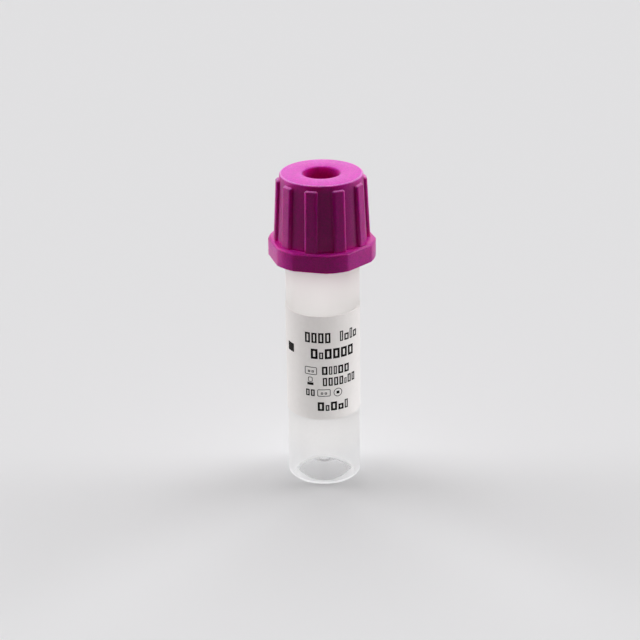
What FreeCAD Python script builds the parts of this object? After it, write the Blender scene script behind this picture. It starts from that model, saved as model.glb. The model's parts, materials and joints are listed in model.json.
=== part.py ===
"""Capillary blood collection tube, 0.5 ml: a moulded tube, a ribbed push-on cap and a label.

The tube stands on its open foot at Z = 0 with its axis on Z. One flat of the cap's flange
and one rib face -Y. All sizes are in millimetres and live in the sheet "sizes".
"""
import FreeCAD, Part
import math
import os
import re
import Sketcher

SIZES = {
    # tube: one moulding, a round-ended reservoir that stands in an open foot
    "tube_diameter": 10.8,
    "tube_height": 45.4,
    "mouth_wall": 1.0,
    "mouth_bore_depth": 10.0,
    "mouth_bevel": 0.25,
    "bore_step": 1.0,
    "reservoir_wall": 1.2,
    "floor_thickness": 1.0,
    "foot_wall": 1.4,
    "foot_recess": 1.7,
    "foot_bevel": 0.12,
    "gate_diameter": 1.8,
    "gate_height": 0.3,
    # cap: one moulding that pushes over the tube and into its mouth
    "cap_overlap": 10.3,
    "cap_top_thickness": 2.1,
    "cap_top_bevel": 0.2,
    "cap_draft": 0.53,
    "skirt_clearance": 0.1,
    "skirt_wall": 1.0,
    "flange_height": 2.65,
    "flange_ledge": 0.81,
    "flange_flat_depth": 0.35,
    "flange_flat_count": 6,
    "flange_bevel": 0.28,
    "rib_count": 10,
    "rib_width": 1.9,
    "rib_rise": 0.46,
    "rib_root": 0.3,
    "rib_corner": 0.4,
    "rib_set_down": 0.75,
    "rib_top_bevel": 0.24,
    "plug_length": 7.0,
    "plug_clearance": 0.2,
    "plug_taper": 0.5,
    "bead_clearance": 0.06,
    "bead_height": 1.2,
    "bead_land": 0.5,
    "bead_pitch": 2.4,
    "well_diameter": 5.2,
    "well_bevel": 0.3,
    "membrane_thickness": 0.8,
    "membrane_recess": 0.5,
    "membrane_ledge": 0.42,
    # label: paper glued round the tube, with a gap at the back
    "label_bottom": 10.95,
    "label_height": 16.55,
    "label_length": 30.6,
    "label_thickness": 0.08,
    "label_glue": 0.02,
    "label_turn": 20.0,
}

# heights and radii that follow from the sizes, for the expressions below
DERIVED = {
    "tube_radius": "tube_diameter / 2",
    "mouth_radius": "tube_radius - mouth_wall",
    "reservoir_radius": "tube_radius - reservoir_wall",
    "foot_radius": "tube_radius - foot_wall",
    "floor_top": "foot_recess + floor_thickness",
    "dome_centre": "floor_top + reservoir_radius",
    "dome_radius": "reservoir_radius + floor_thickness",
    "foot_ceiling": "dome_centre - sqrt(dome_radius ^ 2 - foot_radius ^ 2)",
    "mouth_bore_end": "tube_height - mouth_bore_depth",
    "cap_bottom": "tube_height - cap_overlap",
    "cap_top": "tube_height + cap_top_thickness",
    "flange_top": "cap_bottom + flange_height",
    "cap_bore_radius": "tube_radius + skirt_clearance",
    "cap_root_radius": "cap_bore_radius + skirt_wall",
    "cap_top_radius": "cap_root_radius - cap_draft",
    "cap_taper": "cap_draft / (cap_top - flange_top)",
    "flange_radius": "cap_root_radius + rib_rise + flange_ledge",
    "flange_flat": "flange_radius - flange_flat_depth",
    "rib_top": "cap_top - rib_set_down",
    "rib_top_body": "cap_top_radius + cap_taper * rib_set_down",
    "plug_end": "tube_height - plug_length",
    "plug_radius": "mouth_radius - plug_clearance",
    "plug_tip_radius": "plug_radius - plug_taper",
    "bead_radius": "mouth_radius - bead_clearance",
    "bead_flank": "(bead_height - bead_land) / 2",
    "low_bead": "plug_end + plug_taper",
    "high_bead": "low_bead + bead_pitch",
    "well_radius": "well_diameter / 2",
    "membrane_bottom": "plug_end + membrane_recess",
    "membrane_top": "membrane_bottom + membrane_thickness",
    "membrane_radius": "well_radius + membrane_ledge",
    "label_inside": "tube_radius + label_glue",
    "label_outside": "label_inside + label_thickness",
    "label_top": "label_bottom + label_height",
    "label_angle": "label_length / (2 * pi * label_outside) * 360",
}

NAMES = {**SIZES, **DERIVED}


def make_sheet(doc):
    """One row to a value: its name, then its number or formula under that alias."""
    sheet = doc.addObject("Spreadsheet::Sheet", "sizes")
    cells = {name: repr(value) for name, value in SIZES.items()}
    cells.update({name: "=" + formula for name, formula in DERIVED.items()})
    for row, (name, content) in enumerate(cells.items(), start=1):
        sheet.set("A%d" % row, name)
        sheet.set("B%d" % row, content)
        sheet.setAlias("B%d" % row, name)
    doc.recompute()
    return sheet


def in_sheet(formula):
    """A formula of plain names, written as an expression on the sheet."""
    return re.sub(r"[a-z_]{3,}", lambda word: "sizes." + word[0] if word[0] in NAMES else word[0], formula)


def bind(item, field, formula):
    item.setExpression(field, in_sheet(formula))


def new_body(doc, name):
    body = doc.addObject("PartDesign::Body", name)
    body.Label = name
    return body


def origin_feature(body, role):
    return next(item for item in body.Origin.OriginFeatures if item.Role == role)


def new_sketch(body, name, role, height=None):
    """A sketch on one of the body's own origin planes, lifted by a formula."""
    sketch = body.newObject("Sketcher::SketchObject", name)
    sketch.AttachmentSupport = [(origin_feature(body, role), "")]
    sketch.MapMode = "FlatFace"
    if height:
        bind(sketch, "AttachmentOffset.Base.z", height)
    return sketch


def fix_point(sketch, edge, place, across, up=None):
    """Tie a point of a sketch edge to formulas for its distances from the origin."""
    for kind, axis, formula in (("DistanceX", -2, across), ("DistanceY", -1, up)):
        if formula == "0":
            sketch.addConstraint(Sketcher.Constraint("PointOnObject", edge, place, axis))
        elif formula:
            distance = sketch.evalExpression(in_sheet(formula))
            constraint = Sketcher.Constraint(kind, -1, 1, edge, place, distance)
            name = "%s_%d_%d" % (kind, edge, place)
            sketch.renameConstraint(sketch.addConstraint(constraint), name)
            bind(sketch, "Constraints." + name, formula)


def point_at(sketch, across, up):
    return FreeCAD.Vector(
        sketch.evalExpression(in_sheet(across)),
        sketch.evalExpression(in_sheet(up)),
    )


def add_arc(sketch, start, end, centre):
    """The shorter arc from start to end. It returns the edge and its points in that order."""
    spokes = [start - centre, end - centre]
    turns_left = spokes[0].cross(spokes[1]).z > 0
    if not turns_left:
        spokes.reverse()
    circle = Part.Circle(centre, FreeCAD.Vector(0, 0, 1), spokes[0].Length)
    angles = [math.atan2(spoke.y, spoke.x) for spoke in spokes]
    edge = sketch.addGeometry(Part.ArcOfCircle(circle, *angles), False)
    return (edge, 1, 2) if turns_left else (edge, 2, 1)


def draw_outline(sketch, corners):
    """Close an outline through corners, each a pair of formulas: across and up.

    A corner with two more formulas is reached by an arc round the centre that they give.
    """
    places = [point_at(sketch, *corner[:2]) for corner in corners]
    edges = []
    for index, corner in enumerate(corners):
        start, end = places[index - 1], places[index]
        if len(corner) == 2:
            edges.append((sketch.addGeometry(Part.LineSegment(start, end), False), 1, 2))
        else:
            edges.append(add_arc(sketch, start, end, point_at(sketch, *corner[2:])))
            fix_point(sketch, edges[-1][0], 3, corner[2])
    for index, corner in enumerate(corners):
        edge, _, end = edges[index]
        next_edge, next_start, _ = edges[(index + 1) % len(edges)]
        sketch.addConstraint(Sketcher.Constraint("Coincident", edge, end, next_edge, next_start))
        fix_point(sketch, edge, end, *corner[:2])


def draw_circle(sketch, radius):
    """A circle of the given radius formula, centred on the origin."""
    size = sketch.evalExpression(in_sheet(radius))
    circle = Part.Circle(FreeCAD.Vector(), FreeCAD.Vector(0, 0, 1), size)
    edge = sketch.addGeometry(circle, False)
    sketch.addConstraint(Sketcher.Constraint("Coincident", edge, 3, -1, 1))
    name = "Radius_%d" % edge
    constraint = Sketcher.Constraint("Radius", edge, size)
    sketch.renameConstraint(sketch.addConstraint(constraint), name)
    bind(sketch, "Constraints." + name, radius)


def add_revolution(body, name, corners):
    """Turn an outline of radii and heights round the Z axis."""
    sketch = new_sketch(body, name + "_profile", "XZ_Plane")
    draw_outline(sketch, corners)
    turn = body.newObject("PartDesign::Revolution", name)
    turn.Profile = sketch
    turn.ReferenceAxis = (origin_feature(body, "Z_Axis"), [""])
    turn.Angle = 360
    return turn


def add_pattern(body, name, feature, count):
    """Repeat a feature round the Z axis."""
    pattern = body.newObject("PartDesign::PolarPattern", name)
    pattern.Originals = [feature]
    pattern.Axis = (origin_feature(body, "Z_Axis"), [""])
    pattern.Angle = 360
    bind(pattern, "Occurrences", count)
    body.Tip = pattern
    return pattern


def add_bevel(body, name, width, chosen):
    """Bevel the edges of the body so far that pass a test."""
    body.Document.recompute()
    base = body.Tip
    edges = ["Edge%d" % number for number, edge in enumerate(base.Shape.Edges, 1) if chosen(edge)]
    bevel = body.newObject("PartDesign::Chamfer", name)
    bevel.Base = (base, edges)
    bind(bevel, "Size", width)


def lies_at(edge, height, low=0, high=math.inf):
    """True for a level edge at this height whose points lie between two radii."""
    ends = [vertex.Point for vertex in edge.Vertexes]
    level = all(abs(end.z - height) < 1e-4 for end in ends)
    return level and all(low < math.hypot(end.x, end.y) < high for end in ends)


def build_tube(doc, size):
    """The reservoir and its open foot, with the moulding gate under the floor."""
    body = new_body(doc, "tube")
    add_revolution(body, "tube_wall", [
        ("0", "foot_recess"),
        ("foot_radius", "foot_ceiling", "0", "dome_centre"),
        ("foot_radius", "0"),
        ("tube_radius", "0"),
        ("tube_radius", "tube_height"),
        ("mouth_radius", "tube_height"),
        ("mouth_radius", "mouth_bore_end"),
        ("reservoir_radius", "mouth_bore_end - bore_step"),
        ("reservoir_radius", "dome_centre"),
        ("0", "floor_top", "0", "dome_centre"),
    ])
    gate = body.newObject("PartDesign::Pad", "gate")
    gate.Profile = new_sketch(body, "gate_outline", "XY_Plane", "foot_recess - gate_height")
    draw_circle(gate.Profile[0], "gate_diameter / 2")
    bind(gate, "Length", "gate_height + floor_thickness / 2")
    add_bevel(body, "foot_edges", "foot_bevel", lambda edge: lies_at(edge, 0))
    add_bevel(body, "mouth_edges", "mouth_bevel", lambda edge: lies_at(edge, size("tube_height")))
    return body


def build_cap(doc, size):
    """A hollow drafted body with a flange, ribs and a plug that closes the mouth."""
    body = new_body(doc, "cap")
    add_revolution(body, "cap_wall", cap_profile())
    add_flange(body)
    bevel_rims(body, size)
    add_ribs(body)
    head = size("rib_top_body") + size("rib_rise") / 4
    face = size("cap_root_radius") + size("rib_rise")
    add_bevel(body, "rib_heads", "rib_top_bevel", lambda edge: lies_at(edge, size("rib_top"), head, face))
    return body


def cap_profile():
    """Half the section of the cap, from the membrane round the plug, the skirt and the well."""
    corners = [
        ("0", "membrane_bottom"),
        ("membrane_radius", "membrane_bottom"),
        ("membrane_radius", "plug_end"),
        ("plug_tip_radius", "plug_end"),
        ("plug_radius", "low_bead"),
    ]
    for bead in ("low_bead", "high_bead"):
        corners += [
            ("bead_radius", bead + " + bead_flank"),
            ("bead_radius", bead + " + bead_flank + bead_land"),
            ("plug_radius", bead + " + bead_height"),
            ("plug_radius", bead + " + bead_pitch"),
        ]
    corners[-1] = ("plug_radius", "tube_height")
    corners += [
        ("cap_bore_radius", "tube_height"),
        ("cap_bore_radius", "cap_bottom"),
        ("cap_root_radius", "cap_bottom"),
        ("cap_root_radius", "flange_top"),
        ("cap_top_radius", "cap_top"),
        ("well_radius", "cap_top"),
        ("well_radius", "membrane_top"),
        ("0", "membrane_top"),
    ]
    return corners


def add_flange(body):
    """A round flange at the foot of the cap, with flats that keep it from rolling."""
    disc = body.newObject("PartDesign::Pad", "flange")
    disc.Profile = new_sketch(body, "flange_outline", "XY_Plane", "cap_bottom")
    draw_circle(disc.Profile[0], "flange_radius")
    draw_circle(disc.Profile[0], "(cap_bore_radius + cap_root_radius) / 2")
    bind(disc, "Length", "flange_height")
    flat = body.newObject("PartDesign::Pocket", "flange_flat")
    flat.Profile = new_sketch(body, "flat_outline", "XY_Plane", "cap_bottom")
    draw_outline(flat.Profile[0], [
        ("-flange_radius", "flange_flat"),
        ("flange_radius", "flange_flat"),
        ("flange_radius", "flange_radius * 2"),
        ("-flange_radius", "flange_radius * 2"),
    ])
    flat.Reversed = True
    bind(flat, "Length", "flange_height")
    add_pattern(body, "flange_flats", flat, "flange_flat_count")


def bevel_rims(body, size):
    """Take the edge off the rims of the top face, the well and the flange."""
    top, well, height = size("cap_top_radius"), size("well_radius"), size("cap_top")
    middle = (top + well) / 2
    add_bevel(body, "top_edge", "cap_top_bevel", lambda edge: lies_at(edge, height, middle, top * 1.01))
    add_bevel(body, "well_edge", "well_bevel", lambda edge: lies_at(edge, height, well * 0.99, middle))
    ledge = (size("cap_root_radius") + size("flange_flat")) / 2
    add_bevel(body, "flange_edges", "flange_bevel", lambda edge: lies_at(edge, size("flange_top"), ledge))


def add_ribs(body):
    """Drafted ribs with rounded corners, from the flange to just under the cap's top."""
    sections = []
    for name, height, radius in (
        ("rib_foot", "flange_top - flange_bevel", "cap_root_radius"),
        ("rib_head", "rib_top", "rib_top_body"),
    ):
        section = new_sketch(body, name, "XY_Plane", height)
        face = radius + " + rib_rise"
        draw_outline(section, [
            ("rib_width / 2", radius + " - rib_root"),
            ("rib_width / 2", face + " - rib_corner"),
            ("rib_width / 2 - rib_corner", face, "rib_width / 2 - rib_corner", face + " - rib_corner"),
            ("rib_corner - rib_width / 2", face),
            ("-rib_width / 2", face + " - rib_corner", "rib_corner - rib_width / 2", face + " - rib_corner"),
            ("-rib_width / 2", radius + " - rib_root"),
        ])
        sections.append(section)
    rib = body.newObject("PartDesign::AdditiveLoft", "rib")
    rib.Profile = sections[0]
    rib.Sections = sections[1:]
    rib.Ruled = True
    add_pattern(body, "ribs", rib, "rib_count")
    return rib


def build_label(doc, size):
    """A paper label that lies on the tube, open at the back."""
    body = new_body(doc, "label")
    paper = add_revolution(body, "paper", [
        ("label_inside", "label_bottom"),
        ("label_outside", "label_bottom"),
        ("label_outside", "label_top"),
        ("label_inside", "label_top"),
    ])
    paper.Midplane = True
    bind(paper, "Angle", "label_angle")
    bind(body, "Placement.Rotation.Angle", "label_turn - 90")
    return body


def check(doc, bodies):
    """Stop if any object failed or any piece isn't one valid solid."""
    for item in doc.Objects:
        if {"Invalid", "Error"} & set(item.State):
            raise RuntimeError(item.Label + " failed: " + ", ".join(item.State))
    for body in bodies:
        shape = body.Shape
        if shape.isNull() or not shape.isValid() or len(shape.Solids) != 1:
            raise RuntimeError(body.Label + " isn't one valid solid")


def main():
    doc = FreeCAD.newDocument("collection_tube")
    sheet = make_sheet(doc)

    def size(name):
        return getattr(sheet, name)

    bodies = [build(doc, size) for build in (build_tube, build_cap, build_label)]
    doc.recompute()
    check(doc, bodies)
    os.makedirs("parts", exist_ok=True)
    for body in bodies:
        body.Shape.exportStep("parts/" + body.Label + ".step")
        print(body.Label, round(body.Shape.Volume, 3), body.Shape.BoundBox)


main()
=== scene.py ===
"""Capillary blood collection tube: its plastics, paper label, print and a plain studio."""

import json
import math

import bpy
from mathutils import Matrix, Vector


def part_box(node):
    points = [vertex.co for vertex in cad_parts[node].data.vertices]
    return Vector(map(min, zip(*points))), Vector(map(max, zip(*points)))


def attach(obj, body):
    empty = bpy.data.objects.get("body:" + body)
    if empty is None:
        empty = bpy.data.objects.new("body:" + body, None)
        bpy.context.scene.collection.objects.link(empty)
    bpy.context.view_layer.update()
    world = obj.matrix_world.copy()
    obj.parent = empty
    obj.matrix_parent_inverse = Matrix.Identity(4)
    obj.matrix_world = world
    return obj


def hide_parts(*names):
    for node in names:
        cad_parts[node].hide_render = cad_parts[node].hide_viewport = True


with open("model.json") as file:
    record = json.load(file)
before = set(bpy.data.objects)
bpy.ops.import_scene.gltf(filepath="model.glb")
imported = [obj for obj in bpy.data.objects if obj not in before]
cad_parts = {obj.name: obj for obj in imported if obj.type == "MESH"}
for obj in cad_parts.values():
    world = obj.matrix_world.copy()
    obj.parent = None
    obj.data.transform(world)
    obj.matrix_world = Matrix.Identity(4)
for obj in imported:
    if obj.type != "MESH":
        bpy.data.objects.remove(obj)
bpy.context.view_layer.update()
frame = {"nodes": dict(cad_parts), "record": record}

MM = 0.001

# The range that noise mostly keeps to.
NOISE_LOW = 0.3
NOISE_HIGH = 0.7

# ---------------------------------------------------------------- sizes read from the frame
tube_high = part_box("tube")[1]
cap_low, cap_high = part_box("cap")
label_low, label_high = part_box("label")
mounts = {mount["name"]: mount for mount in frame["record"]["mounts"]}
TUBE_RADIUS = tube_high.x
LABEL_RADIUS = label_high.x
WELL_RADIUS = mounts["cap_well"]["dims"]["r_mm"] * MM

# ---------------------------------------------------------------- smoothing of the mouldings and the label
MERGE_DISTANCE = 0.002 * MM
SMOOTH_ANGLE = math.radians(50)

# ---------------------------------------------------------------- cap moulding
FLANGE_TOP = cap_low.z + 2.65 * MM
ROOT_RADIUS = 6.5 * MM
ROOT_SLOPE = 0.054
RIB_RISE = 0.46 * MM
RIB_TOP = cap_high.z - 0.75 * MM
TOP_RADIUS = 5.97 * MM

# Where the cap's painted light and shade begin: down from its top, up or down from the flange's top, in from
# the body's skin or out from the well. Each has the width over which it fades.
EDGE_FADE = 0.2 * MM
CROWN_DEPTH = 0.3 * MM
FLANGE_SHOULDER = 0.4 * MM
BODY_SKIN = 0.4 * MM
GROOVE_SIDE = 0.1 * RIB_RISE
GROOVE_SIDE_FADE = 0.7 * RIB_RISE
GROOVE_FOOT = 0.1 * MM
GROOVE_FOOT_FADE = 0.6 * MM
GROOVE_HEAD = 1.4 * MM
GROOVE_HEAD_FADE = 1.0 * MM
WELL_SKIN = 0.02 * MM
WELL_SKIN_FADE = 0.04 * MM
WELL_MOUTH = 1.3 * MM
WELL_MOUTH_FADE = 0.9 * MM

# Painted highlights on edges: the ring round the top, and the heads of the ribs, which show only outside that
# ring.
RING_DEPTH = 0.18 * MM
RING_DEPTH_FADE = 0.08 * MM
RING_WIDTH = 0.35 * MM
RING_WIDTH_FADE = 0.15 * MM
HEAD_DEPTH = 0.24 * MM
HEAD_DEPTH_FADE = 0.12 * MM
HEAD_HIGHLIGHT = 0.6
HEAD_START = 0.1 * MM
HEAD_START_FADE = 0.1 * MM

CAP_DEEP = (0.72, 0.004, 0.39, 1)
CAP_PALE = (0.84, 0.010, 0.50, 1)
# painted light on the cap's top: a bluer tone for its lit face
CAP_PAINTED_TOP_LIGHT = (0.81, 0.008, 0.58, 1)
# painted light on the flange, for the light that the floor throws up onto it
CAP_PAINTED_FLANGE_LIGHT = (0.97, 0.012, 0.55, 1)
# painted shade in the grooves between the ribs
CAP_PAINTED_GROOVE_SHADE = (0.64, 0.002, 0.34, 1)
# painted highlights on the ring round the top and on the rib heads
CAP_PAINTED_HIGHLIGHT = (0.94, 0.22, 0.76, 1)
# painted shade down the well, and painted light at its mouth
WELL_PAINTED_SHADE = (0.66, 0.002, 0.28, 1)
WELL_MOUTH_PAINTED_LIGHT = (1.0, 0.03, 0.62, 1)

# ---------------------------------------------------------------- tube moulding
SKIN_DEPTH = 0.3 * MM

# The skin is clear below FOOT_CLEAR and milky above FOOT_MILKY. Both come down where the wall turns edge
# on, by FOOT_TURN when it is edge on entirely. The bore frosts over from FROST_LOW to FROST_HIGH.
FOOT_CLEAR = 5.5 * MM
FOOT_MILKY = 6.3 * MM
FOOT_TURN = 9.2 * MM
SKIN_CLEAR_SHARE = 0.03
SKIN_MILKY_SHARE = 0.95
FROST_LOW = 4.2 * MM
FROST_HIGH = 6.4 * MM
BORE_CLEAR_SHARE = 0.12
BORE_MILKY_SHARE = 0.8

# The rim is a painted highlight, bright up to RIM_HEIGHT, and up to a line that climbs by RIM_TURN where the
# wall turns edge on.
# The layer weight is FRONT_WEIGHT or less where the wall faces the eye, and SIDE_WEIGHT or more at its sides.
RIM_HEIGHT = 0.52 * MM
RIM_START = 0.7 * RIM_HEIGHT
RIM_LINE = 0.05 * MM
RIM_FADE = 0.3 * MM
RIM_TURN = 3.9 * MM
FRONT_WEIGHT = 0.2
SIDE_WEIGHT = 0.6
RIM_FRONT_SHARE = 0.72
RIM_SIDE_SHARE = 0.96
LINE_FRONT_SHARE = 0.5
LINE_SIDE_SHARE = 0.9

COVERED_FADE = 6.5 * MM
TUBE_GLOW = 0.65
TUBE_CLOUD_DARK = (0.925, 0.921, 0.916, 1)
TUBE_CLOUD_PALE = (0.99, 0.985, 0.98, 1)
TUBE_NECK = (0.975, 0.97, 0.955, 1)
# painted shade on the part of the tube under the cap
TUBE_PAINTED_SHADE_UNDER_CAP = (0.87, 0.865, 0.85, 1)
# painted shade: grey inside the foot, where the floor under it lies in shade
FOOT_PAINTED_SHADE = (0.42, 0.42, 0.42, 1)
FOOT_OUTSIDE = (0.95, 0.95, 0.95, 1)
WHITE = (1, 1, 1, 1)

# ---------------------------------------------------------------- label paper and ink
PAPER_GLOW = 0.15
# The paper is painted paler towards its foot: painted light from the floor below.
PAPER_TOP_DARK = (0.78, 0.75, 0.735, 1)
PAPER_TOP_PALE = (0.875, 0.845, 0.83, 1)
PAPER_FOOT_DARK = (0.86, 0.835, 0.82, 1)
PAPER_FOOT_PALE = (0.955, 0.93, 0.915, 1)
PAPER_THROUGH = (0.92, 0.89, 0.87, 1)
INK_DARK = (0.004, 0.003, 0.003, 1)
INK_WORN = (0.014, 0.012, 0.011, 1)

# ---------------------------------------------------------------- print on the label
# The ink's rise and thickness are in metres. The other lengths of the print are in mm, as it is drawn.
LABEL_MIDDLE = math.radians(20)
MARK_GAP = 0.22
FINE_STROKE = 0.1
RING_SIDES = 32
UPRIGHT = (math.radians(90), 0, 0)
INK_STEP = 0.3
INK_RISE = 0.015 * MM
INK_THICKNESS = 0.03 * MM

# ---------------------------------------------------------------- camera
CAMERA_AZIMUTH = 13.55
CAMERA_DISTANCE = 221.39 * MM
CAMERA_HEIGHT = 122.85 * MM
CAMERA_PITCH = 23.93
CAMERA_YAW = -0.112
CAMERA_ROLL = -0.727
CAMERA_LENS = 92.53
CAMERA_NEAR = 10 * MM
SENSOR_WIDTH = 36.0

# ---------------------------------------------------------------- studio
FLOOR_SIZE = 6.0
FLOOR_COLOUR = (0.84, 0.845, 0.855, 1)
FLOOR_BOUNCE = (0.15, 0.15, 0.15, 1)
BACKDROP_COLOUR = (0.745, 0.75, 0.77, 1)
FRONT_COLOUR = (0.05, 0.045, 0.04, 1)
FRONT_EDGE = 0.2
FRONT_MIDDLE = 0.9
AMBIENT_COLOUR = (0.040, 0.030, 0.018, 1)
LAMP_COLOUR = (0.995, 0.995, 1.01)

# Each lamp's turn from the camera's side, its elevation, its strength and its width, with angles in degrees.
# The first group lights everything, and each of the others only the pieces that it is named for.
ROOM_LAMPS = {
    "top_light": (180, 72, 0.44, 55),
    "left_light": (-112, 30, 0.37, 40),
    "right_light": (112, 30, 0.36, 40),
    "back_light": (180, 30, 0.15, 60),
}
CAP_LAMPS = {
    "cap_left_fill": (-110, -8, 0.11, 28),
    "cap_right_fill": (96, -8, 0.11, 36),
}
TUBE_LAMPS = {
    "tube_front_fill": (-3, 10, 1.54, 120),
    "tube_back_fill": (180, 10, 1.0, 120),
}
LABEL_LAMPS = {
    "label_left_fill": (-80, 10, 0.86, 90),
    "label_right_fill": (68, 10, 0.98, 70),
    "label_front_fill": (0, 10, 0.36, 120),
}


def select_only(piece):
    """Make this piece the one that operators act on."""
    bpy.ops.object.select_all(action="DESELECT")
    piece.select_set(True)
    bpy.context.view_layer.objects.active = piece


def apply_modifier(piece, kind, **settings):
    """Add a modifier with these settings and apply it."""
    select_only(piece)
    modifier = piece.modifiers.new(kind.lower(), kind)
    for name, value in settings.items():
        setattr(modifier, name, value)
    bpy.ops.object.modifier_apply(modifier=modifier.name)


def merged_copy(node, name):
    """The node's own form as one closed mesh, whose bevels shade as rounded edges."""
    piece = frame["nodes"][node].copy()
    piece.data = piece.data.copy()
    piece.name = name
    piece.parent = None
    for key in list(piece.keys()):
        del piece[key]
    bpy.context.scene.collection.objects.link(piece)
    select_only(piece)
    bpy.ops.object.mode_set(mode="EDIT")
    bpy.ops.mesh.select_all(action="SELECT")
    bpy.ops.mesh.customdata_custom_splitnormals_clear()
    bpy.ops.mesh.remove_doubles(threshold=MERGE_DISTANCE)
    bpy.ops.object.mode_set(mode="OBJECT")
    bpy.ops.object.shade_smooth_by_angle(angle=SMOOTH_ANGLE)
    apply_modifier(piece, "WEIGHTED_NORMAL", weight=100, keep_sharp=True)
    return piece


# ================================================================ material parts
def new_material(name):
    material = bpy.data.materials.new(name)
    material.use_nodes = True
    material.node_tree.nodes.clear()
    return material


def add_node(tree, kind, inputs, **settings):
    """A node with its settings. An input is a link where it is given a socket, and otherwise a value."""
    node = tree.nodes.new("ShaderNode" + kind)
    for name, value in settings.items():
        setattr(node, name, value)
    for name, value in inputs.items():
        if isinstance(value, bpy.types.NodeSocket):
            tree.links.new(value, node.inputs[name])
        else:
            node.inputs[name].default_value = value
    return node


def finish_material(material, surface):
    add_node(material.node_tree, "OutputMaterial", {"Surface": surface})
    return material


def object_place(tree):
    return add_node(tree, "TexCoord", {}).outputs["Object"]


def radius_from_axis(tree, place):
    flat = add_node(tree, "VectorMath", {0: place, 1: (1, 1, 0)}, operation="MULTIPLY").outputs[0]
    return add_node(tree, "VectorMath", {0: flat}, operation="LENGTH").outputs["Value"]


def height_from_floor(tree, place):
    return add_node(tree, "SeparateXYZ", {0: place}).outputs["Z"]


def noise(tree, place, scale, detail=2.0, roughness=0.5):
    """Soft cloudy variation, 0 to 1, with this many waves to the metre."""
    inputs = {"Vector": place, "Scale": scale, "Detail": detail, "Roughness": roughness}
    return add_node(tree, "TexNoise", inputs).outputs["Fac"]


def spread(tree, value, low, high, to_low, to_high):
    """Carry a range of a value over to another range, held at its ends."""
    inputs = {"Value": value, "From Min": low, "From Max": high, "To Min": to_low, "To Max": to_high}
    return add_node(tree, "MapRange", inputs, clamp=True).outputs["Result"]


def vary(tree, pattern, low, high):
    """A noise pattern's usual range, carried over to another."""
    return spread(tree, pattern, NOISE_LOW, NOISE_HIGH, low, high)


def above(tree, value, level, fade):
    """0 up to the level, and 1 from the fade's width above it."""
    return spread(tree, value, level, level + fade, 0, 1)


def below(tree, value, level, fade):
    """1 up to the level, and 0 from the fade's width above it."""
    return spread(tree, value, level, level + fade, 1, 0)


def multiply(tree, *values):
    product = values[0]
    for value in values[1:]:
        product = add_node(tree, "Math", {0: product, 1: value}, operation="MULTIPLY").outputs[0]
    return product


def lean(tree, value, slope, by):
    """The value, raised by the slope times another value."""
    return add_node(tree, "Math", {0: by, 1: slope, 2: value}, operation="MULTIPLY_ADD").outputs[0]


def larger(tree, first, second):
    return add_node(tree, "Math", {0: first, 1: second}, operation="MAXIMUM").outputs[0]


def blend_values(tree, share, first, second):
    return add_node(tree, "Mix", {0: share, 2: first, 3: second}).outputs[0]


def blend_colours(tree, share, first, second):
    inputs = {0: share, 6: first, 7: second}
    return add_node(tree, "Mix", inputs, data_type="RGBA").outputs[2]


def blend_shaders(tree, share, first, second):
    return add_node(tree, "MixShader", {0: share, 1: first, 2: second}).outputs[0]


def bump(tree, height, strength, distance):
    inputs = {"Height": height, "Strength": strength, "Distance": distance}
    return add_node(tree, "Bump", inputs).outputs["Normal"]


def solid_surface(tree, inputs):
    return add_node(tree, "BsdfPrincipled", inputs).outputs[0]


def glowing_surface(tree, colour, normal):
    """A surface that passes light on from behind."""
    return add_node(tree, "BsdfTranslucent", {"Color": colour, "Normal": normal}).outputs[0]


# ================================================================ cap plastic
def painted_groove_shade(tree, radius, above_flange):
    """Painted shade: 1 in the grooves between the ribs, 0 elsewhere."""
    straightened = lean(tree, radius, ROOT_SLOPE, above_flange)
    below_ribs = below(tree, straightened, ROOT_RADIUS + GROOVE_SIDE, GROOVE_SIDE_FADE)
    outside = above(tree, straightened, ROOT_RADIUS - BODY_SKIN, EDGE_FADE)
    foot = above(tree, above_flange, GROOVE_FOOT, GROOVE_FOOT_FADE)
    head = below(tree, above_flange, cap_high.z - FLANGE_TOP - GROOVE_HEAD, GROOVE_HEAD_FADE)
    return multiply(tree, below_ribs, outside, foot, head)


def painted_edge_highlights(tree, radius, height):
    """Painted highlights: 1 on the ring round the cap's top and less on the heads of the ribs, 0 elsewhere.
    """
    top = above(tree, height, cap_high.z - RING_DEPTH, RING_DEPTH_FADE)
    ring = multiply(tree, top, above(tree, radius, TOP_RADIUS - RING_WIDTH, RING_WIDTH_FADE))
    low = RIB_TOP - HEAD_DEPTH
    head = spread(tree, height, low, low + HEAD_DEPTH_FADE, 0, HEAD_HIGHLIGHT)
    heads = multiply(tree, head, above(tree, radius, TOP_RADIUS + HEAD_START, HEAD_START_FADE))
    return larger(tree, ring, heads)


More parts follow.
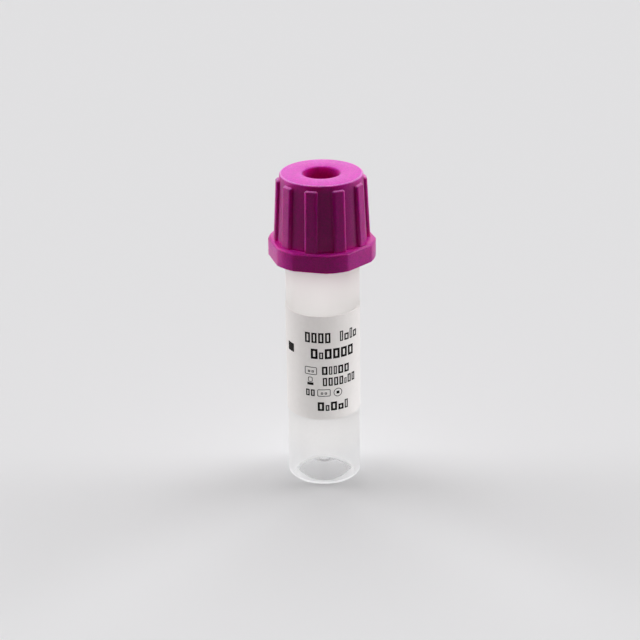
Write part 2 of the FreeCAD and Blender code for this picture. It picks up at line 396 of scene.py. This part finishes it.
def cap_colour(tree, place):
    """Violet, with painted shade in the well and the grooves, and painted light on the top, the flange and as
    highlights on the edges.
    """
    radius = radius_from_axis(tree, place)
    height = height_from_floor(tree, place)
    above_flange = add_node(tree, "Math", {0: height, 1: FLANGE_TOP}, operation="SUBTRACT").outputs[0]
    clouds = noise(tree, place, scale=420, detail=4, roughness=0.6)
    colour = blend_colours(tree, clouds, CAP_DEEP, CAP_PALE)
    # painted light on the top
    crown = above(tree, height, cap_high.z - CROWN_DEPTH, EDGE_FADE)
    colour = blend_colours(tree, crown, colour, CAP_PAINTED_TOP_LIGHT)
    # painted light on the flange
    flange = below(tree, above_flange, -FLANGE_SHOULDER, EDGE_FADE)
    colour = blend_colours(tree, flange, colour, CAP_PAINTED_FLANGE_LIGHT)
    # painted shade in the grooves
    colour = blend_colours(tree, painted_groove_shade(tree, radius, above_flange), colour, CAP_PAINTED_GROOVE_SHADE)
    # painted highlights on the edges
    colour = blend_colours(tree, painted_edge_highlights(tree, radius, height), colour, CAP_PAINTED_HIGHLIGHT)
    # painted light at the well's mouth, painted shade below it
    mouth = above(tree, height, cap_high.z - WELL_MOUTH, WELL_MOUTH_FADE)
    well = below(tree, radius, WELL_RADIUS + WELL_SKIN, WELL_SKIN_FADE)
    return blend_colours(tree, well, colour, blend_colours(tree, mouth, WELL_PAINTED_SHADE, WELL_MOUTH_PAINTED_LIGHT))


def cap_plastic():
    """Violet polyethylene with a satin skin and a fine mottle."""
    material = new_material("cap_plastic")
    tree = material.node_tree
    place = object_place(tree)
    grain = noise(tree, place, scale=4200, detail=3, roughness=0.7)
    mottle = vary(tree, grain, 0.8, 1.18)
    mottled = add_node(tree, "HueSaturation", {"Color": cap_colour(tree, place), "Value": mottle})
    surface = solid_surface(tree, {
        "Base Color": mottled.outputs[0],
        "Roughness": vary(tree, noise(tree, place, scale=900), 0.28, 0.36),
        "Specular IOR Level": 0.24,
        "Sheen Weight": 0.2,
        "Sheen Roughness": 0.35,
        "Subsurface Weight": 0.45,
        "Subsurface Radius": (1.0, 0.1, 0.45),
        "Subsurface Scale": 0.8 * MM,
        "Normal": bump(tree, grain, strength=0.2, distance=0.05 * MM),
    })
    return finish_material(material, surface)


# ================================================================ tube plastic
def rim_share(tree, height, facing, standing):
    """How solid the foot's edge looks, for its painted highlight: where the tube stands, and under a line
    that climbs at its sides.
    """
    edge = spread(tree, facing, FRONT_WEIGHT, SIDE_WEIGHT, RIM_FRONT_SHARE, RIM_SIDE_SHARE)
    line = spread(tree, facing, FRONT_WEIGHT, SIDE_WEIGHT, LINE_FRONT_SHARE, LINE_SIDE_SHARE)
    under = below(tree, lean(tree, height, -RIM_TURN, facing), RIM_LINE, RIM_FADE)
    return larger(tree, multiply(tree, standing, edge), multiply(tree, under, line))


def milk_share(tree, height, outside, standing):
    """How far the plastic hides what is behind it: little in the foot, except at its sides and its rim."""
    facing = add_node(tree, "LayerWeight", {"Blend": 0.5}).outputs["Facing"]
    bore = spread(tree, height, FROST_LOW, FROST_HIGH, BORE_CLEAR_SHARE, BORE_MILKY_SHARE)
    turned = lean(tree, height, FOOT_TURN, facing)
    skin = spread(tree, turned, FOOT_CLEAR, FOOT_MILKY, SKIN_CLEAR_SHARE, SKIN_MILKY_SHARE)
    share = blend_values(tree, outside, bore, skin)
    behind = add_node(tree, "NewGeometry", {}).outputs["Backfacing"]
    front = spread(tree, behind, 0, 1, 1, 0)
    rim = multiply(tree, rim_share(tree, height, facing, standing), outside, front)
    return larger(tree, share, rim)


def tube_colour(tree, place, height, outside, standing):
    """Milky white, warmer up to the neck, with painted shade under the cap and inside the foot, and white at
    its rim as a painted highlight.
    """
    clouds = noise(tree, place, scale=2400, detail=4, roughness=0.7)
    upper = blend_colours(tree, clouds, TUBE_CLOUD_DARK, TUBE_CLOUD_PALE)
    warmth = spread(tree, height, label_low.z, label_high.z, 0, 1)
    upper = blend_colours(tree, warmth, upper, TUBE_NECK)
    # painted shade under the cap
    upper = blend_colours(tree, above(tree, height, cap_low.z, COVERED_FADE), upper, TUBE_PAINTED_SHADE_UNDER_CAP)
    # painted shade inside the foot
    foot = blend_colours(tree, outside, FOOT_PAINTED_SHADE, FOOT_OUTSIDE)
    # painted highlight: the rim is made white where the tube stands
    foot = blend_colours(tree, multiply(tree, standing, outside), foot, WHITE)
    return blend_colours(tree, spread(tree, height, FROST_LOW, FROST_HIGH, 0, 1), foot, upper)


def tube_plastic():
    """Milky polypropylene: a frosted bore, a clearer foot and a rim that gathers the light."""
    material = new_material("tube_plastic")
    tree = material.node_tree
    place = object_place(tree)
    height = height_from_floor(tree, place)
    outside = above(tree, radius_from_axis(tree, place), TUBE_RADIUS - SKIN_DEPTH, SKIN_DEPTH / 2)
    standing = spread(tree, height, RIM_START, RIM_HEIGHT, 1, 0)
    colour = tube_colour(tree, place, height, outside, standing)
    normal = bump(tree, noise(tree, place, scale=700), strength=0.08, distance=0.05 * MM)
    solid = solid_surface(tree, {
        "Base Color": colour,
        "Roughness": 0.34,
        "Specular IOR Level": 0.15,
        "Normal": normal,
    })
    milky = blend_shaders(tree, TUBE_GLOW, solid, glowing_surface(tree, colour, normal))
    clear = add_node(tree, "BsdfTransparent", {"Color": WHITE}).outputs[0]
    share = milk_share(tree, height, outside, standing)
    return finish_material(material, blend_shaders(tree, share, clear, milky))


# ================================================================ label paper and ink
def label_paper():
    """Uncoated label paper that lets some light through, with painted light making it paler towards its foot.
    """
    material = new_material("label_paper")
    tree = material.node_tree
    place = object_place(tree)
    fibres = noise(tree, place, scale=1500, detail=4, roughness=0.65)
    foot = blend_colours(tree, fibres, PAPER_FOOT_DARK, PAPER_FOOT_PALE)
    top = blend_colours(tree, fibres, PAPER_TOP_DARK, PAPER_TOP_PALE)
    # painted light: paler towards the label's foot
    rise = spread(tree, height_from_floor(tree, place), label_low.z, label_high.z, 0, 1)
    normal = bump(tree, fibres, strength=0.15, distance=0.03 * MM)
    sheet = solid_surface(tree, {
        "Base Color": blend_colours(tree, rise, foot, top),
        "Roughness": 0.62,
        "Specular IOR Level": 0.3,
        "Normal": normal,
    })
    through = glowing_surface(tree, PAPER_THROUGH, normal)
    return finish_material(material, blend_shaders(tree, PAPER_GLOW, sheet, through))


def print_ink():
    """Thermal print: near black, a little uneven."""
    material = new_material("print_ink")
    tree = material.node_tree
    wear = noise(tree, object_place(tree), scale=3000, detail=3)
    surface = solid_surface(tree, {
        "Base Color": blend_colours(tree, wear, INK_DARK, INK_WORN),
        "Roughness": 0.7,
        "Specular IOR Level": 0.1,
    })
    return finish_material(material, surface)


# ================================================================ pieces
def dress(piece, material, body, slot, *nodes):
    """Give a finished piece its material and its body, and hide the nodes that it stands for."""
    piece.data.materials.clear()
    piece.data.materials.append(material)
    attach(piece, body)
    if nodes:
        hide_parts(*nodes)


def draw_patch(across, up, width, height):
    """A flat patch of print with its middle here, in mm from the label's middle and foot."""
    bpy.ops.mesh.select_all(action="DESELECT")
    bpy.ops.mesh.primitive_plane_add(size=1, location=(across, 0, up), rotation=UPRIGHT)
    bpy.ops.transform.resize(value=(width, 1, height), center_override=(across, 0, up))


def hollow_out(stroke):
    """Leave only an outline of the patch that was just drawn."""
    bpy.ops.mesh.inset(thickness=stroke)
    bpy.ops.mesh.delete(type="FACE")


def draw_box(across, up, width, height, stroke):
    draw_patch(across, up, width, height)
    hollow_out(stroke)


def draw_low_box(across, up, width, height, stroke):
    """A box two thirds as tall as its row, on the row's foot."""
    draw_box(across, up - height / 6, width, height * 2 / 3, stroke)


def draw_frame(across, up, width, height):
    """A thin box with rounded corners."""
    draw_patch(across, up, width, height)
    bpy.ops.mesh.bevel(offset=2 * FINE_STROKE, segments=4, affect="VERTICES")
    hollow_out(FINE_STROKE)


def draw_ring(across, up, diameter):
    """A thin ring."""
    bpy.ops.mesh.select_all(action="DESELECT")
    bpy.ops.mesh.primitive_circle_add(
        vertices=RING_SIDES,
        radius=diameter / 2,
        fill_type="NGON",
        location=(across, 0, up),
        rotation=UPRIGHT,
    )
    hollow_out(FINE_STROKE)


# The marks that rows of print are made of: how each is drawn, and its share of its row's length.
MARKS = {
    "wide": (draw_box, 1.0),
    "narrow": (draw_box, 0.6),
    "low": (draw_low_box, 0.9),
    "small": (draw_low_box, 0.6),
}


def draw_row(marks, start, up, length, height, stroke):
    """A run of marks, spread evenly over a length, that stands for a printed word."""
    marks = marks.split()
    widths = [MARKS[mark][1] for mark in marks]
    gap = MARK_GAP * (len(marks) - 1)
    unit = (length - gap) / sum(widths)
    across = start
    for mark, width in zip(marks, widths):
        draw = MARKS[mark][0]
        draw(across + width * unit / 2, up, width * unit, height, min(stroke, width * unit / 3))
        across += width * unit + MARK_GAP


def draw_label_print():
    """The rows of print, flat, from the top of the label down."""
    bpy.ops.object.select_all(action="DESELECT")
    bpy.ops.mesh.primitive_plane_add(size=1)
    piece = bpy.context.object
    piece.name = "label_print"
    select_only(piece)
    bpy.ops.object.mode_set(mode="EDIT")
    bpy.ops.mesh.select_all(action="SELECT")
    bpy.ops.mesh.delete(type="VERT")
    # the eye mark at the side, and the two rows of large print
    draw_patch(-6.27, 10.78, 1.5, 1.35)
    draw_row("wide wide wide wide", -3.36, 13.2, 3.8, 1.6, 0.26)
    draw_row("narrow low narrow low", 1.9, 13.25, 3.3, 1.6, 0.24)
    draw_row("wide small wide wide wide wide", -2.48, 10.66, 6.78, 1.6, 0.34)
    # the batch row, with a framed sign before it
    draw_frame(-2.53, 7.9, 1.87, 1.25)
    draw_row("low low", -2.96, 7.9, 0.9, 0.5, FINE_STROKE)
    draw_row("wide narrow narrow wide wide", -0.86, 7.98, 4.3, 1.32, 0.3)
    # the date row, with a small frame on a bar before it
    draw_frame(-2.61, 6.5, 0.7, 0.8)
    draw_patch(-2.61, 5.8, 0.95, 0.42)
    draw_row("wide wide wide wide small wide wide", -0.74, 6.17, 5.4, 1.32, 0.3)
    # the row of signs: two marks, a frame with marks in it, and a ring with a dot in it
    draw_row("low low", -3.32, 4.61, 1.35, 1.6, 0.2)
    draw_frame(-0.6, 4.38, 1.96, 1.15)
    draw_row("low low", -1.05, 4.38, 0.9, 0.5, FINE_STROKE)
    draw_ring(1.52, 4.32, 1.35)
    draw_patch(1.52, 4.32, 0.45, 0.45)
    # the volume
    draw_row("wide small wide low narrow", -1.54, 2.15, 4.75, 1.42, 0.34)
    bpy.ops.object.mode_set(mode="OBJECT")
    return piece


def wrap_on_label(piece):
    """Bend flat artwork round the label, and give the ink its thickness."""
    piece.data.transform(Matrix.Scale(MM, 4))
    select_only(piece)
    bpy.ops.object.mode_set(mode="EDIT")
    reach = piece.dimensions.x
    for step in range(int(reach / INK_STEP / MM) + 1):
        for side in (-1, 1):
            bpy.ops.mesh.select_all(action="SELECT")
            bpy.ops.mesh.bisect(plane_co=(side * step * INK_STEP * MM, 0, 0), plane_no=(1, 0, 0))
    bpy.ops.object.mode_set(mode="OBJECT")
    radius = LABEL_RADIUS + INK_RISE
    across = [vertex.co.x for vertex in piece.data.vertices]
    bend = (max(across) - min(across)) / radius
    apply_modifier(piece, "SIMPLE_DEFORM", deform_method="BEND", deform_axis="Z", angle=bend)
    apply_modifier(piece, "SOLIDIFY", thickness=INK_THICKNESS, offset=-1)
    turn = Matrix.Rotation(LABEL_MIDDLE, 4, "Z")
    piece.data.transform(turn @ Matrix.Translation((0, -radius, label_low.z)))
    return piece


# ================================================================ studio
def seen_directly(tree):
    """1 for rays that show the studio itself: from the camera, in a reflection or through the tube."""
    path = add_node(tree, "LightPath", {})
    shiny = larger(tree, path.outputs["Is Glossy Ray"], path.outputs["Is Transmission Ray"])
    return larger(tree, path.outputs["Is Camera Ray"], shiny)


def add_floor():
    """A wide pale floor that keeps the shadow and gives back less light than it shows."""
    bpy.ops.object.select_all(action="DESELECT")
    bpy.ops.mesh.primitive_plane_add(size=FLOOR_SIZE)
    floor = bpy.context.object
    floor.name = "floor"
    material = new_material("floor_paper")
    tree = material.node_tree
    shown = add_node(tree, "BsdfDiffuse", {"Color": FLOOR_COLOUR}).outputs[0]
    given_back = add_node(tree, "BsdfDiffuse", {"Color": FLOOR_BOUNCE}).outputs[0]
    floor.data.materials.append(material)
    finish_material(material, blend_shaders(tree, seen_directly(tree), given_back, shown))


def toward_camera(turn=0):
    """The level direction from the object to the camera's side, turned by this many degrees."""
    azimuth = math.radians(CAMERA_AZIMUTH + turn)
    return Vector((math.sin(azimuth), -math.cos(azimuth), 0))


def add_world():
    """A pale studio that is dark in front of the object, and lights it less than it shows."""
    world = bpy.data.worlds.new("studio")
    bpy.context.scene.world = world
    world.use_nodes = True
    tree = world.node_tree
    tree.nodes.clear()
    direction = add_node(tree, "TexCoord", {}).outputs["Generated"]
    inputs = {0: direction, 1: toward_camera()}
    nearness = add_node(tree, "VectorMath", inputs, operation="DOT_PRODUCT").outputs["Value"]
    front = spread(tree, nearness, FRONT_EDGE, FRONT_MIDDLE, 0, 1)
    colour = blend_colours(tree, front, BACKDROP_COLOUR, FRONT_COLOUR)
    backdrop = add_node(tree, "Background", {"Color": colour}).outputs[0]
    ambient = add_node(tree, "Background", {"Color": AMBIENT_COLOUR}).outputs[0]
    surface = blend_shaders(tree, seen_directly(tree), ambient, backdrop)
    add_node(tree, "OutputWorld", {"Surface": surface})


def add_light(name, turn, elevation, strength, width):
    """A soft far light. At strength 1 a white surface that faces it shows as white."""
    light = bpy.data.lights.new(name, "SUN")
    light.energy = strength * math.pi
    light.color = LAMP_COLOUR
    light.angle = math.radians(width)
    lamp = bpy.data.objects.new(name, light)
    bpy.context.scene.collection.objects.link(lamp)
    rise = math.radians(elevation)
    aim = toward_camera(turn) * math.cos(rise) + Vector((0, 0, math.sin(rise)))
    lamp.rotation_euler = aim.to_track_quat("Z", "Y").to_euler()
    return lamp


def keep_to(lamp, pieces, blockers=()):
    """Let a lamp light only these pieces, with only the blockers in its way and no spill from them."""
    lamp.data.cycles.max_bounces = 0
    lit = bpy.data.collections.new(lamp.name + "_pieces")
    for piece in pieces:
        lit.objects.link(piece)
    lamp.light_linking.receiver_collection = lit
    shade = bpy.data.collections.new(lamp.name + "_blockers")
    for piece in blockers:
        shade.objects.link(piece)
    lamp.light_linking.blocker_collection = shade


def add_camera():
    """The camera stands to the right of the front, looks down and leans a little."""
    camera = bpy.data.objects.new("camera", bpy.data.cameras.new("camera"))
    bpy.context.scene.collection.objects.link(camera)
    camera.data.lens = CAMERA_LENS
    camera.data.sensor_width = SENSOR_WIDTH
    camera.data.clip_start = CAMERA_NEAR
    place = toward_camera() * CAMERA_DISTANCE
    place.z = CAMERA_HEIGHT
    turn = Matrix.Rotation(math.radians(CAMERA_AZIMUTH - CAMERA_YAW), 4, "Z")
    tilt = Matrix.Rotation(math.radians(90 - CAMERA_PITCH), 4, "X")
    roll = Matrix.Rotation(math.radians(CAMERA_ROLL), 4, "Z")
    camera.matrix_world = Matrix.Translation(place) @ turn @ tilt @ roll
    bpy.context.scene.camera = camera


# ================================================================ scene
bpy.context.scene.view_settings.view_transform = "Standard"
tube = merged_copy("tube", "tube_moulding")
dress(tube, tube_plastic(), "vessel", "tube_plastic", "tube")
cap = merged_copy("cap", "cap_moulding")
dress(cap, cap_plastic(), "closure", "cap_plastic", "cap")
label = merged_copy("label", "label_sheet")
dress(label, label_paper(), "vessel", "label_paper", "label")
ink = wrap_on_label(draw_label_print())
dress(ink, print_ink(), "vessel", "label_paper")
add_floor()
for name, setting in ROOM_LAMPS.items():
    add_light(name, *setting)
for name, setting in CAP_LAMPS.items():
    keep_to(add_light(name, *setting), [cap], [cap])
for name, setting in TUBE_LAMPS.items():
    keep_to(add_light(name, *setting), [tube])
for name, setting in LABEL_LAMPS.items():
    keep_to(add_light(name, *setting), [label, ink])
add_world()
add_camera()
